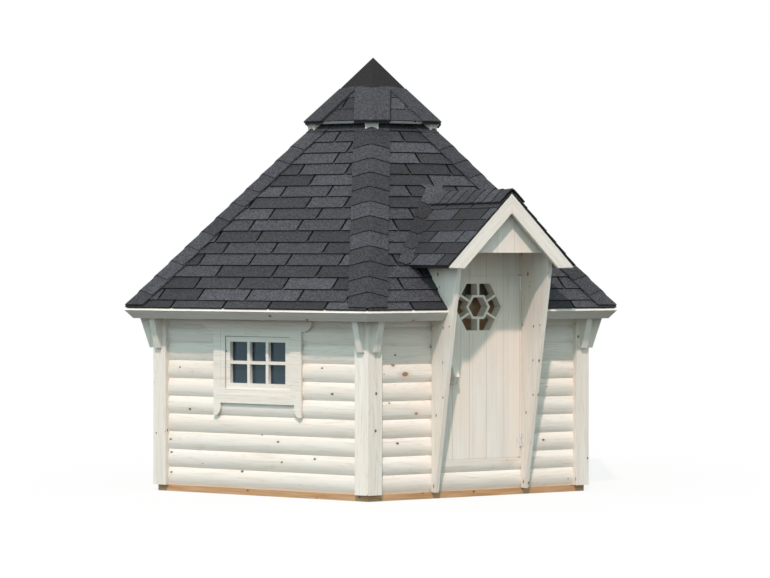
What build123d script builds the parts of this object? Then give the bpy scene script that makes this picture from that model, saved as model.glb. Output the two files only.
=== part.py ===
from build123d import *
import math
import os

# A hexagonal barbecue hut of round-faced logs with a gabled porch over its door.
# Millimetres, +Z up, the door faces -Y, origin on the ground under the middle of the hut.

# Shared clearances
fit_gap = 0.3
mitre_gap = 0.6
overrun = 60.0

# Plan and base
base_side = 1750.0
base_height = 45.0
base_width = 95.0
joist_width = 45.0
joist_spacing = 440.0
deck_thickness = 20.0

# Log walls
log_height = 126.5
log_thickness = 45.0
log_bulge = 16.0

# Corner posts
post_proud = 34.0
post_facet_width = 107.0

# Roof
roof_angle = 45.0
eave_reach = 226.0
eave_height = 1288.0
fascia_thickness = 25.0
fascia_width = 82.0
roof_thickness = 48.0
collar_thickness = 28.0
collar_rise = 18.0

# Eave brackets, with their feet below the eave
bracket_thickness = 45.0
bracket_height = 270.0
bracket_foot_reach = 27.0
bracket_eave_gap = 15.0

# Smoke cap, with its rim above the roof and past the smoke hole
cap_radius = 565.0
cap_lift = 108.0
cap_overhang = 129.0
cap_thickness = 20.0
cap_fascia_thickness = 18.0
cap_block_top_width = 115.0
cap_block_foot_width = 82.0
cap_block_gap = 14.0
cap_block_inset = 45.0
cap_cover_height = 205.0
cap_cover_thickness = 5.0

# Door leaf, with its foot above the base and its top above the eave
leaf_width = 682.0
leaf_thickness = 40.0
leaf_foot_rise = 217.0
leaf_top_rise = 245.0
leaf_planks = 7
plank_groove = 2.0
door_gap = 8.0
door_run_gap = 6.0
threshold_thickness = 11.0
threshold_nose = 10.0
header_thickness = 45.0
lintel_height = 45.0
notch_gap = 15.0

# Porch pillars
pillar_thickness = 30.0
pillar_foot_reach = 47.0
pillar_head_reach = 353.0

# Porch roof, with its eaves above the door head and past the pillars
dormer_lift = 49.0
dormer_side_overhang = 112.0
dormer_front_overhang = 5.0
dormer_roof_thickness = 22.0
barge_width = 81.0
barge_thickness = 20.0
barge_gap = 43.0
gable_thickness = 14.0
gable_height = 385.0

# Honeycomb window in the door, its middle below the top of the leaf
comb_width = 325.0
comb_drop = 217.0
comb_lining = 12.0
comb_cell_width = 166.0
comb_bar_width = 16.0
comb_depth = 88.0
comb_front_set = 4.0
pane_thickness = 4.0

# Door handle, from the left edge and the foot of the leaf
handle_edge_distance = 121.0
handle_width = 38.0
handle_rise = 524.0
handle_height = 189.0
handle_reach = 80.0
handle_tip_reach = 14.0
handle_grip_share = 0.28

# Door hinges, from the foot and the top of the leaf
hinge_height = 96.0
hinge_rise = 123.0
hinge_drop = 53.0
hinge_radius = 5.0
hinge_pin_radius = 2.7
hinge_plate_thickness = 2.4
hinge_plate_width = 30.0
hinge_inset = 3.0
hinge_knuckle_share = 0.34

# Windows, off the middle of the wall and away from the door, with their sashes below the eave
window_shift = 20.0
sash_width = 537.0
sash_height = 367.0
sash_drop = 178.0
sash_stile_width = 38.0
sash_thickness = 46.0
sash_set = 9.0
pane_set = 36.0
frame_width = 38.0
frame_proud = 18.0
casing_thickness = 20.0
casing_width = 58.0
casing_drop = 153.0
casing_tail_height = 62.0
casing_tail_share = 0.65
apron_height = 64.0
head_height = 73.0
head_overhang = 85.0
head_scroll_width = 60.0
head_scroll_height = 58.0
scroll_bow_share = 0.3

# Derived plan
hex_cos = math.cos(math.radians(30))
hex_tan = math.tan(math.radians(30))
base_apothem = base_side * hex_cos
wall_inner = base_apothem - log_thickness
seam_apothem = base_apothem - log_bulge
post_apothem = base_apothem + post_proud
post_corner_at = post_apothem * hex_tan
post_side_at = post_corner_at - post_facet_width
wall_half = post_side_at - fit_gap
bracket_at = (post_side_at + post_corner_at) / 2

# Derived slopes: the roof planes fall evenly with the distance outward from the middle
slope_cos = math.cos(math.radians(roof_angle))
slope_sin = math.sin(math.radians(roof_angle))
slope_tan = math.tan(math.radians(roof_angle))
eave_apothem = base_apothem + eave_reach
roof_peak = eave_height + eave_apothem * slope_tan
roof_drop = roof_thickness / slope_cos


def roof_top(outward):
    return roof_peak - outward * slope_tan


def roof_under(outward):
    return roof_top(outward) - roof_drop


wall_top = roof_under(wall_inner)

# Derived cap
cap_apothem = cap_radius * hex_cos
cap_rim_height = roof_top(cap_apothem) + cap_lift
cap_apex = cap_rim_height + cap_apothem * slope_tan
cap_drop = cap_thickness / slope_cos
hole_apothem = cap_apothem - cap_overhang

# Derived door
leaf_half = leaf_width / 2
leaf_bottom = base_height + leaf_foot_rise
leaf_top = eave_height + leaf_top_rise
comb_height = leaf_top - comb_drop
doorway_half = leaf_half + door_gap
threshold_top = leaf_bottom - door_run_gap
sill_top = threshold_top - threshold_thickness
header_bottom = leaf_top + door_run_gap
hinge_x = leaf_half - hinge_inset
hinge_out = base_apothem + hinge_radius + 2 * fit_gap
hinge_heights = [leaf_bottom + hinge_rise, leaf_top - hinge_drop]

# Derived porch: its roof slopes at 45 degrees, and the main roof is notched behind the door
pillar_outer = doorway_half + pillar_thickness
dormer_eave_height = header_bottom + dormer_lift
dormer_eave_half = pillar_outer + dormer_side_overhang
dormer_apex = dormer_eave_height + dormer_eave_half
gable_back = base_apothem + pillar_head_reach + fit_gap
porch_front = gable_back + gable_thickness + barge_gap + barge_thickness
comb_back = base_apothem - comb_front_set - comb_depth - pane_thickness
notch_apothem = comb_back - notch_gap

# Derived window
sash_half = sash_width / 2
sash_top = eave_height - sash_drop
sash_bottom = sash_top - sash_height
frame_half = sash_half + frame_width
frame_bottom = sash_bottom - frame_width
frame_top = sash_top + frame_width


def save(name, *solids):
    shape = solids[0] if len(solids) == 1 else Compound(children=list(solids))
    export_step(shape, os.path.join("parts", name + ".step"))


def along_wall(outline, x_from, x_to):
    # outline in (distance outward, height), drawn out along the front wall
    plane = Plane(origin=(x_to, 0, 0), x_dir=(0, -1, 0), z_dir=(-1, 0, 0))
    return extrude(plane * outline, amount=x_to - x_from)


def side_board(points, x_from, x_to):
    return along_wall(make_face(Polyline(*points, close=True)), x_from, x_to)


def facing(outline, front, thickness):
    # outline in (along the wall, height), with its face at the distance front
    plane = Plane(origin=(0, thickness - front, 0), x_dir=(1, 0, 0), z_dir=(0, -1, 0))
    return extrude(plane * outline, amount=thickness)


def face_board(points, front, thickness):
    return facing(make_face(Polyline(*points, close=True)), front, thickness)


def rectangle(x_from, x_to, low, high):
    return [(x_from, low), (x_to, low), (x_to, high), (x_from, high)]


def block(x_from, x_to, out_from, out_to, low, high):
    return face_board(rectangle(x_from, x_to, low, high), out_to, out_to - out_from)


def turned(solid, steps):
    return solid.rotate(Axis.Z, 60.0 * steps)


def all_turned(solids, steps):
    return [turned(solid, steps) for solid in solids]


def all_moved(solids, along):
    return [solid.translate((along, 0, 0)) for solid in solids]


def mirrored(solid):
    return mirror(solid, about=Plane.YZ)


def sector():
    # the sixth of the plan that belongs to the front wall, less half a mitre gap each side
    reach = eave_apothem + overrun
    corners = [(0, -mitre_gap), (reach * hex_tan, -reach - mitre_gap), (-reach * hex_tan, -reach - mitre_gap)]
    return extrude(make_face(Polyline(*corners, close=True)), amount=cap_apex + overrun)


def hip_body(points):
    # the hexagonal body that shows this outline, in (distance outward, height), across each pair of sides
    reach = 2 * max(outward for outward, height in points)
    ridge = side_board(points, -reach, reach)
    return ridge & turned(ridge, 1) & turned(ridge, 2)


def below_slopes(peak, half):
    side = peak - half * slope_tan
    return hip_body([(-half, 0), (half, 0), (half, side), (0, peak), (-half, side)])


def pyramid(rim, half):
    return hip_body([(-half, rim), (half, rim), (0, rim + half * slope_tan)])


room_below_roof = below_slopes(roof_under(0) - fit_gap, eave_apothem + overrun)
front_sector = sector()


# Base ring and floor
def base_beam():
    beam = block(-base_side, base_side, base_apothem - base_width, base_apothem, 0, base_height)
    return beam & front_sector


def floor_joists():
    reach = base_apothem - base_width - fit_gap
    ring = extrude(RegularPolygon(reach / hex_cos, 6), amount=base_height)
    count = int((reach - joist_width) // joist_spacing)
    joists = []
    for step in range(-count, count + 1):
        at = step * joist_spacing
        strip = block(-base_side, base_side, at - joist_width / 2, at + joist_width / 2, 0, base_height)
        joists.append((strip & ring).solid())
    return joists


def floor_deck():
    deck = extrude(RegularPolygon((wall_inner - fit_gap) / hex_cos, 6), amount=deck_thickness)
    return deck.translate((0, 0, base_height))


# Log walls: each log has a flat inner face and a round outer one
def log(x_from, x_to, low):
    high = low + log_height - fit_gap
    round_face = ThreePointArc((seam_apothem, low), (base_apothem, (low + high) / 2), (seam_apothem, high))
    rest = Polyline((seam_apothem, high), (wall_inner, high), (wall_inner, low), (seam_apothem, low))
    return along_wall(make_face([round_face, rest]), x_from, x_to)


def log_courses(x_from, x_to, top):
    count = math.ceil((top - base_height) / log_height)
    return [log(x_from, x_to, base_height + course * log_height) for course in range(count)]


def plain_wall():
    logs = log_courses(-wall_half, wall_half, wall_top)
    return [(course & room_below_roof).solid() for course in logs]


def window_wall(middle):
    half = frame_half + fit_gap
    hole = block(middle - half, middle + half, wall_inner - overrun, base_apothem + overrun,
                 frame_bottom - fit_gap, frame_top + fit_gap)
    return [piece for course in plain_wall() for piece in (course - hole).solids()]


def door_wall_side():
    logs = log_courses(doorway_half, wall_half, wall_top)
    return [(course & room_below_roof).solid() for course in logs]


def door_wall_sill():
    limit = block(-doorway_half, doorway_half, wall_inner - overrun, base_apothem + overrun, 0, sill_top)
    logs = log_courses(fit_gap - doorway_half, doorway_half - fit_gap, sill_top)
    return [(course & limit).solid() for course in logs]


# Corner posts: two facets along the walls
def corner_post():
    def spot(outward, along, side):
        wall_turn = math.radians(30 * side)
        normal = Vector(math.cos(wall_turn), math.sin(wall_turn))
        tangent = Vector(math.sin(wall_turn), -math.cos(wall_turn)) * side
        return normal * outward + tangent * along

    outline = [spot(wall_inner, post_side_at, 1), spot(post_apothem, post_side_at, 1),
               Vector(post_apothem / hex_cos, 0), spot(post_apothem, post_side_at, -1),
               spot(wall_inner, post_side_at, -1), Vector(wall_inner / hex_cos, 0)]
    shaft = extrude(make_face(Polyline(*outline, close=True)), amount=wall_top)
    return shaft.translate((0, 0, base_height)) & room_below_roof


# Main roof
def slope_point(along, below):
    # along: up the slope from the fascia's top edge; below: under the roof's top plane
    return (eave_apothem - along * slope_cos - below * slope_sin,
            eave_height + along * slope_sin - below * slope_cos)


def roof_panel():
    outline = [slope_point(fascia_thickness + fit_gap, 0), (hole_apothem, roof_top(hole_apothem)),
               (hole_apothem, roof_under(hole_apothem)), slope_point(fascia_thickness + fit_gap, roof_thickness)]
    return side_board(outline, -base_side - overrun, base_side + overrun) & front_sector


def fascia_board():
    outline = [slope_point(0, 0), slope_point(fascia_thickness, 0),
               slope_point(fascia_thickness, fascia_width), slope_point(0, fascia_width)]
    return side_board(outline, -base_side - overrun, base_side + overrun) & front_sector


def eave_bracket(side):
    # tapered from its foot on the post to just behind the fascia
    foot_height = eave_height - bracket_height
    back = post_apothem + fit_gap
    head_out, head_height = slope_point(fascia_thickness, fascia_width)
    head_out -= bracket_eave_gap
    outline = [(back, foot_height), (back + bracket_foot_reach, foot_height), (head_out, head_height),
               (head_out, wall_top), (back, wall_top)]
    board = side_board(outline, side * bracket_at - bracket_thickness / 2, side * bracket_at + bracket_thickness / 2)
    return board & room_below_roof


def roof_panel_at_porch():
    # one element above the porch and one on each side of it
    reach = eave_apothem + overrun
    panel = roof_panel()
    upper = block(-reach, reach, 0, notch_apothem - mitre_gap, 0, cap_apex)
    beside = block(pillar_outer + fit_gap, reach, notch_apothem, reach, 0, cap_apex)
    return [(panel & part).solid() for part in (upper, beside, mirrored(beside))]


def fascia_beside_porch():
    reach = eave_apothem + overrun
    beside = block(pillar_outer + fit_gap, reach, 0, reach, 0, cap_apex)
    return [(fascia_board() & part).solid() for part in (beside, mirrored(beside))]


def collar_board():
    outer = hole_apothem - fit_gap
    board = block(-outer, outer, outer - collar_thickness, outer, roof_under(hole_apothem),
                  roof_top(hole_apothem) + collar_rise)
    return board & front_sector


# Smoke cap over the hole in the roof
def cap_point(along, below):
    # along: up the slope from the cap's rim; below: under the cap's top plane
    return (cap_apothem - along * slope_cos - below * slope_sin,
            cap_rim_height + along * slope_sin - below * slope_cos)


def cap_panel():
    start = cap_fascia_thickness + fit_gap
    outline = [cap_point(start, 0), (0, cap_apex), (0, cap_apex - cap_drop), cap_point(start, cap_thickness)]
    return side_board(outline, -cap_radius, cap_radius) & front_sector


def cap_cover():
    rim = cap_apex - cap_cover_height + fit_gap
    half = cap_cover_height / slope_tan
    return pyramid(rim + cap_cover_thickness / slope_cos, half) - pyramid(rim, half)


def cap_fascia_board():
    outline = [cap_point(0, 0), cap_point(cap_fascia_thickness, 0),
               cap_point(cap_fascia_thickness, cap_thickness), cap_point(0, cap_thickness)]
    return side_board(outline, -cap_radius, cap_radius) & front_sector


def cap_block():
    # seated on the hip of the roof beside the smoke hole and reaching up to the underside of the cap
    outer = cap_radius - cap_block_inset
    inner = hole_apothem / hex_cos + cap_block_gap
    hip_tan = slope_tan * hex_cos
    low = roof_top(0) - outer * hip_tan
    high = cap_apex - cap_drop - outer * hip_tan
    front = [(-cap_block_foot_width / 2, low - overrun), (cap_block_foot_width / 2, low - overrun),
             (cap_block_top_width / 2, high + overrun), (-cap_block_top_width / 2, high + overrun)]
    plane = Plane(origin=(inner, 0, 0), x_dir=(0, 1, 0), z_dir=(1, 0, 0))
    prism = extrude(plane * make_face(Polyline(*front, close=True)), amount=outer - inner)
    under_cap = below_slopes(cap_apex - cap_drop - fit_gap, cap_apothem)
    roof_body = below_slopes(roof_top(0) + fit_gap, cap_apothem + overrun)
    return (prism & under_cap) - roof_body


# Gabled roof over the porch
def dormer_under(across):
    return dormer_apex - across


def above_roof():
    # everything over the top plane of the front roof panel
    outer = porch_front + overrun
    outline = [(hole_apothem, roof_top(hole_apothem) + fit_gap), (outer, roof_top(outer) + fit_gap),
               (outer, cap_apex), (hole_apothem, cap_apex)]
    return side_board(outline, -base_side, base_side)


def dormer_slab():
    rise = dormer_roof_thickness * math.sqrt(2)
    edge = dormer_roof_thickness / math.sqrt(2)
    start = mitre_gap / 2
    outline = [(start, dormer_under(start) + fit_gap), (dormer_eave_half, dormer_eave_height + fit_gap),
               (dormer_eave_half + edge, dormer_eave_height + edge + fit_gap),
               (start, dormer_under(start) + rise + fit_gap)]
    front = porch_front + dormer_front_overhang
    return face_board(outline, front, front - hole_apothem) & above_roof()


def bargeboard():
    depth = barge_width * math.sqrt(2)
    start = mitre_gap / 2
    outline = [(start, dormer_under(start)), (dormer_eave_half, dormer_eave_height),
               (dormer_eave_half - depth, dormer_eave_height), (start, dormer_under(start) - depth)]
    return face_board(outline, porch_front, barge_thickness)


def gable_panel():
    foot = dormer_apex - gable_height
    outline = [(-gable_height, foot), (gable_height, foot), (0, dormer_apex)]
    return face_board(outline, gable_back + gable_thickness, gable_thickness)


# Wedge pillars on the base, with cheeks behind them through the roof, carry the porch roof
def below_dormer():
    outline = [(doorway_half, 0), (pillar_outer, 0), (pillar_outer, dormer_under(pillar_outer)),
               (doorway_half, dormer_under(doorway_half))]
    return face_board(outline, porch_front, porch_front)


def porch_pillar():
    back = base_apothem + fit_gap
    front = gable_back - fit_gap
    outline = [(back, base_height), (back + pillar_foot_reach, base_height), (front, dormer_eave_height),
               (front, dormer_apex), (back, dormer_apex)]
    return side_board(outline, doorway_half, pillar_outer) & below_dormer()


def dormer_cheek():
    tip = (roof_peak - dormer_apex) / slope_tan
    outline = [(base_apothem, roof_under(base_apothem)), (base_apothem, dormer_apex + fit_gap),
               (tip, dormer_apex + fit_gap), (notch_apothem, roof_top(notch_apothem) + fit_gap),
               (notch_apothem, roof_under(notch_apothem))]
    return side_board(outline, doorway_half, pillar_outer) & below_dormer()


def door_header():
    # a panel over the door and a lintel that closes the notch behind it
    half = doorway_half - fit_gap
    outline = [(-half, header_bottom), (half, header_bottom), (half, dormer_under(half)), (0, dormer_apex),
               (-half, dormer_under(half))]
    panel = face_board(outline, base_apothem, header_thickness)
    lintel = block(-half, half, notch_apothem, base_apothem - header_thickness - fit_gap,
                   header_bottom, header_bottom + lintel_height)
    return [panel, lintel]


def door_threshold():
    half = doorway_half - fit_gap
    return block(-half, half, wall_inner, base_apothem + threshold_nose, sill_top + fit_gap, threshold_top)


# Door leaf with a hexagonal hole for its honeycomb window
def flat_hexagon(width):
    return Pos(0, comb_height) * RegularPolygon(width / 2, 6, major_radius=False)


def door_leaf():
    leaf = block(-leaf_half, leaf_half, base_apothem - leaf_thickness, base_apothem, leaf_bottom, leaf_top)
    hole_width = comb_width + 2 * comb_lining + 2 * fit_gap
    leaf -= facing(flat_hexagon(hole_width), base_apothem + overrun, leaf_thickness + 2 * overrun)
    for seam in range(1, leaf_planks):
        at = seam * leaf_width / leaf_planks - leaf_half
        leaf -= block(at - plank_groove / 2, at + plank_groove / 2, base_apothem - plank_groove,
                      base_apothem + overrun, leaf_bottom - overrun, leaf_top + overrun)
    return leaf


def door_lattice():
    lining = flat_hexagon(comb_width + 2 * comb_lining) - flat_hexagon(comb_width)
    cell = flat_hexagon(comb_cell_width) - flat_hexagon(comb_cell_width - 2 * comb_bar_width)
    spoke_from = comb_cell_width / 2 - comb_bar_width / 2
    spoke_to = comb_width / 2 + comb_lining / 2
    sketch = lining + cell
    for turn in range(6):
        spoke = Pos((spoke_from + spoke_to) / 2, 0) * Rectangle(spoke_to - spoke_from, comb_bar_width)
        sketch += Pos(0, comb_height) * Rot(0, 0, 30 + 60 * turn) * spoke
    return facing(sketch, base_apothem - comb_front_set, comb_depth)


def door_glass():
    return facing(flat_hexagon(comb_width + 2 * comb_lining), comb_back + pane_thickness - fit_gap, pane_thickness)


def door_handle():
    face = base_apothem + fit_gap
    middle = handle_edge_distance - leaf_half
    low = leaf_bottom + handle_rise
    high = low + handle_height
    grip = low + handle_height * handle_grip_share
    outline = [(face, low), (face + handle_reach / 2, low), (face + handle_reach, grip),
               (face + handle_tip_reach, high), (face, high)]
    return side_board(outline, middle - handle_width / 2, middle + handle_width / 2)


# Butt hinges: fixed knuckles with the pin on the pillar, one turning knuckle on the leaf
def upright(radius, low, high):
    return extrude(Plane(origin=(hinge_x, -hinge_out, low)) * Circle(radius), amount=high - low)


def hinge_knuckle(middle):
    half = hinge_height * hinge_knuckle_share / 2
    face = base_apothem + fit_gap
    barrel = upright(hinge_radius, middle - half, middle + half)
    plate = block(hinge_x - hinge_plate_width, hinge_x, face, face + hinge_plate_thickness,
                  middle - half, middle + half)
    bore = upright(hinge_pin_radius + fit_gap, middle - half, middle + half)
    return barrel + plate - bore


def hinge_bracket(middle):
    half = hinge_height * hinge_knuckle_share / 2 + fit_gap
    end = hinge_height / 2
    pillar_face = doorway_half - fit_gap
    plate_back = hinge_out - hinge_plate_thickness / 2
    bracket = upright(hinge_pin_radius, middle - end, middle + end)
    for low, high in ((middle - end, middle - half), (middle + half, middle + end)):
        bracket += upright(hinge_radius, low, high)
        bracket += block(hinge_x, pillar_face, plate_back, plate_back + hinge_plate_thickness, low, high)
        bracket += block(pillar_face - hinge_plate_thickness, pillar_face, plate_back,
                         hinge_out + hinge_plate_width, low, high)
    return bracket


# Windows: frame in the hole, sash with glass, boards around on the logs
def ring(half, low, high, rail, front, depth):
    # two stiles with two rails between them
    spans = [(-half, rail - half, low, high), (half - rail, half, low, high)]
    between = half - rail - fit_gap
    spans += [(-between, between, low, low + rail), (-between, between, high - rail, high)]
    return [face_board(rectangle(*span), front, depth) for span in spans]


def window_frame():
    return ring(frame_half, frame_bottom, frame_top, frame_width,
                base_apothem + frame_proud, log_thickness + frame_proud)


def window_sash():
    return ring(sash_half - fit_gap, sash_bottom + fit_gap, sash_top - fit_gap, sash_stile_width,
                base_apothem - sash_set + frame_proud, sash_thickness)


def window_glass():
    edge = sash_stile_width + 2 * fit_gap
    middle = base_apothem - sash_set + frame_proud - pane_set
    return block(edge - sash_half, sash_half - edge, middle - pane_thickness / 2, middle + pane_thickness / 2,
                 sash_bottom + edge, sash_top - edge)


def bowed(start, end, corner):
    # an arc from start to end that bulges towards the corner that it rounds off
    middle = (Vector(*start) + Vector(*end)) / 2
    return ThreePointArc(start, middle + (Vector(*corner) - middle) * scroll_bow_share, end)


def casing_board(side):
    # an upright board whose tail is rounded off on the inner side
    inner = side * (frame_half + fit_gap)
    outer = inner + side * casing_width
    tip = inner + side * casing_width * casing_tail_share
    top = frame_top - fit_gap
    foot = frame_bottom - casing_drop
    tail = foot + casing_tail_height
    edges = Polyline((tip, foot), (outer, foot), (outer, top), (inner, top), (inner, tail))
    return make_face([edges, bowed((inner, tail), (tip, foot), (inner, foot))])


def head_board():
    # a board over the window with its lower corners rounded off
    half = frame_half + fit_gap + casing_width + head_overhang
    low = frame_top
    high = low + head_height
    turn = half - head_scroll_width
    shoulder = low + head_scroll_height
    return make_face([Polyline((half, shoulder), (half, high), (-half, high), (-half, shoulder)),
                      bowed((-half, shoulder), (-turn, low), (-half, low)),
                      Line((-turn, low), (turn, low)),
                      bowed((turn, low), (half, shoulder), (half, low))])


def window_casing():
    inner = frame_half - fit_gap
    apron = make_face(Polyline(*rectangle(-inner, inner, frame_bottom - apron_height, frame_bottom), close=True))
    outlines = [casing_board(-1), casing_board(1), head_board(), apron]
    return [facing(outline, base_apothem + casing_thickness + fit_gap, casing_thickness) for outline in outlines]


os.makedirs("parts", exist_ok=True)

save("base_beams", *[turned(base_beam(), step) for step in range(6)])
save("floor_joists", *floor_joists())
save("floor_deck", floor_deck())

for step, place in ((2, "rear_right"), (3, "rear"), (4, "rear_left")):
    save("wall_" + place, *all_turned(plain_wall(), step))
for step, place, middle in ((1, "right", window_shift), (5, "left", -window_shift)):
    save("window_wall_" + place, *all_turned(window_wall(middle), step))
save("door_wall_right", *door_wall_side())
save("door_wall_left", *[mirrored(course) for course in door_wall_side()])
save("door_wall_sill", *door_wall_sill())

for step, place in enumerate(["right", "rear_right", "rear_left", "left", "front_left", "front_right"]):
    save("corner_post_" + place, turned(corner_post(), step))
save("eave_brackets", *[turned(eave_bracket(side), step) for step in range(6) for side in (-1, 1)])

save("roof_panel_front", *roof_panel_at_porch())
for step, place in enumerate(["front_right", "rear_right", "rear", "rear_left", "front_left"], start=1):
    save("roof_panel_" + place, turned(roof_panel(), step))
save("eave_fascia", *fascia_beside_porch(), *[turned(fascia_board(), step) for step in range(1, 6)])
save("roof_collar", *[turned(collar_board(), step) for step in range(6)])

save("cap_roof", *[turned(cap_panel(), step) for step in range(6)])
save("cap_cover", cap_cover())
save("cap_fascia", *[turned(cap_fascia_board(), step) for step in range(6)])
save("cap_blocks", *[turned(cap_block(), step) for step in range(6)])

save("dormer_roof_right", dormer_slab())
save("dormer_roof_left", mirrored(dormer_slab()))
save("bargeboard_right", bargeboard())
save("bargeboard_left", mirrored(bargeboard()))
save("gable_panel", gable_panel())

save("porch_pillar_right", porch_pillar())
save("porch_pillar_left", mirrored(porch_pillar()))
save("dormer_cheeks", dormer_cheek(), mirrored(dormer_cheek()))
save("door_header", *door_header())
save("door_threshold", door_threshold())

save("door_leaf", door_leaf())
save("door_lattice", door_lattice())
save("door_glass", door_glass())
save("door_handle", door_handle())
save("door_hinge_knuckles", *[hinge_knuckle(middle) for middle in hinge_heights])
save("door_hinge_brackets", *[hinge_bracket(middle) for middle in hinge_heights])

for step, place, middle in ((1, "right", window_shift), (5, "left", -window_shift)):
    save("window_frame_" + place, *all_turned(all_moved(window_frame(), middle), step))
    save("window_casing_" + place, *all_turned(all_moved(window_casing(), middle), step))
    save("window_sash_" + place, *all_turned(all_moved(window_sash(), middle), step))
    save("window_glass_" + place, *all_turned(all_moved([window_glass()], middle), step))
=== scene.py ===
import math

import bpy
from mathutils import Matrix, Vector


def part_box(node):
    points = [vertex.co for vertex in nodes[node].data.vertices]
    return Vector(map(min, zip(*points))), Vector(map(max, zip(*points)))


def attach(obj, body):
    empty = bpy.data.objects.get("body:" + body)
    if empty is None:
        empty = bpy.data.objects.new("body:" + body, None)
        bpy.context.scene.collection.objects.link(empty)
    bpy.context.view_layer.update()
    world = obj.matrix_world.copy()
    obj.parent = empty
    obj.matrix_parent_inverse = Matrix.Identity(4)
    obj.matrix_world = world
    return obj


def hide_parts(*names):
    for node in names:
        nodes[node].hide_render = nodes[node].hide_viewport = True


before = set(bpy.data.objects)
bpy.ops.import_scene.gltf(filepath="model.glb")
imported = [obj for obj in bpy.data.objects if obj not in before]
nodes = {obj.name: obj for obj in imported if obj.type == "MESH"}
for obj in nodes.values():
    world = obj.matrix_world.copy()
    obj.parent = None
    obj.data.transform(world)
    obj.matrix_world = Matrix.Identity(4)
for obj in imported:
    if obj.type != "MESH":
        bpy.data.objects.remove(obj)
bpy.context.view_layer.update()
scene = bpy.context.scene
scene.view_settings.view_transform = "Standard"
print("frame loaded,", len(nodes), "nodes")


# small helpers for node trees
def put(tree, kind, wires=None, **settings):
    node = tree.nodes.new(kind)
    for key, value in settings.items():
        setattr(node, key, value)
    for key, value in (wires or {}).items():
        if isinstance(value, bpy.types.NodeSocket):
            tree.links.new(value, node.inputs[key])
        else:
            node.inputs[key].default_value = value
    return node


def calc(tree, operation, *values):
    return put(tree, "ShaderNodeMath", dict(enumerate(values)), operation=operation).outputs[0]


def plus(tree, first, second):
    return calc(tree, "ADD", first, second)


def minus(tree, first, second):
    return calc(tree, "SUBTRACT", first, second)


def times(tree, first, second):
    return calc(tree, "MULTIPLY", first, second)


def over(tree, first, second):
    return calc(tree, "DIVIDE", first, second)


def vec(tree, operation, *values):
    node = put(tree, "ShaderNodeVectorMath", dict(enumerate(values)), operation=operation)
    return node.outputs["Value" if operation in ("DOT_PRODUCT", "LENGTH") else "Vector"]


def combine(tree, x=0.0, y=0.0, z=0.0):
    return put(tree, "ShaderNodeCombineXYZ", {0: x, 1: y, 2: z}).outputs[0]


def split(tree, vector):
    return put(tree, "ShaderNodeSeparateXYZ", {0: vector}).outputs


def ramp(tree, value, low, high, start=0.0, end=1.0, smooth=False):
    wires = {0: value, 1: low, 2: high, 3: start, 4: end}
    kind = "SMOOTHSTEP" if smooth else "LINEAR"
    return put(tree, "ShaderNodeMapRange", wires, interpolation_type=kind).outputs[0]


def blend(tree, factor, first, second, mode="MIX"):
    wires = {0: factor}
    for key, value in ((6, first), (7, second)):
        wires[key] = (*value, 1.0) if isinstance(value, tuple) else value
    return put(tree, "ShaderNodeMix", wires, data_type="RGBA", blend_type=mode).outputs[2]


def shaded(tree, colour, shade):
    grey = put(tree, "ShaderNodeCombineColor", {0: shade, 1: shade, 2: shade}).outputs[0]
    return blend(tree, 1.0, colour, grey, "MULTIPLY")


def noise(tree, place, scale, detail, roughness=0.5, kind="3D"):
    wires = {"Vector": place, "Scale": scale, "Detail": detail, "Roughness": roughness}
    return put(tree, "ShaderNodeTexNoise", wires, noise_dimensions=kind).outputs[0]


def grainNoise(tree, across, along, look):
    place = combine(tree, times(tree, across, look[0]), times(tree, along, look[1]))
    return noise(tree, place, 1.0, *look[2:], kind="2D")


def fromMiddle(tree, count):
    return calc(tree, "ABSOLUTE", minus(tree, calc(tree, "FRACT", count), 0.5))


# materials
def emptied(owner):
    owner.use_nodes = True
    owner.node_tree.nodes.clear()
    return owner.node_tree


def newMaterial(name, roughness, specular=0.3, sockets=None):
    material = bpy.data.materials.new(name)
    tree = emptied(material)
    wires = {"Roughness": roughness, "Specular IOR Level": specular}
    shader = put(tree, "ShaderNodeBsdfPrincipled", dict(wires, **(sockets or {})))
    put(tree, "ShaderNodeOutputMaterial", {"Surface": shader.outputs[0]})
    return material, tree, shader


def surface(tree, shader, colour, height=None, strength=0.0, distance=0.0):
    tree.links.new(colour, shader.inputs["Base Color"])
    if height is not None:
        bump = put(tree, "ShaderNodeBump", {"Height": height, "Strength": strength, "Distance": distance})
        tree.links.new(bump.outputs[0], shader.inputs["Normal"])


def dress(material, *names):
    for name in names:
        data = nodes[name].data
        data.materials.clear()
        data.materials.append(material)


def named(*starts):
    return sorted(name for name in nodes if name.startswith(starts))


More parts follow.
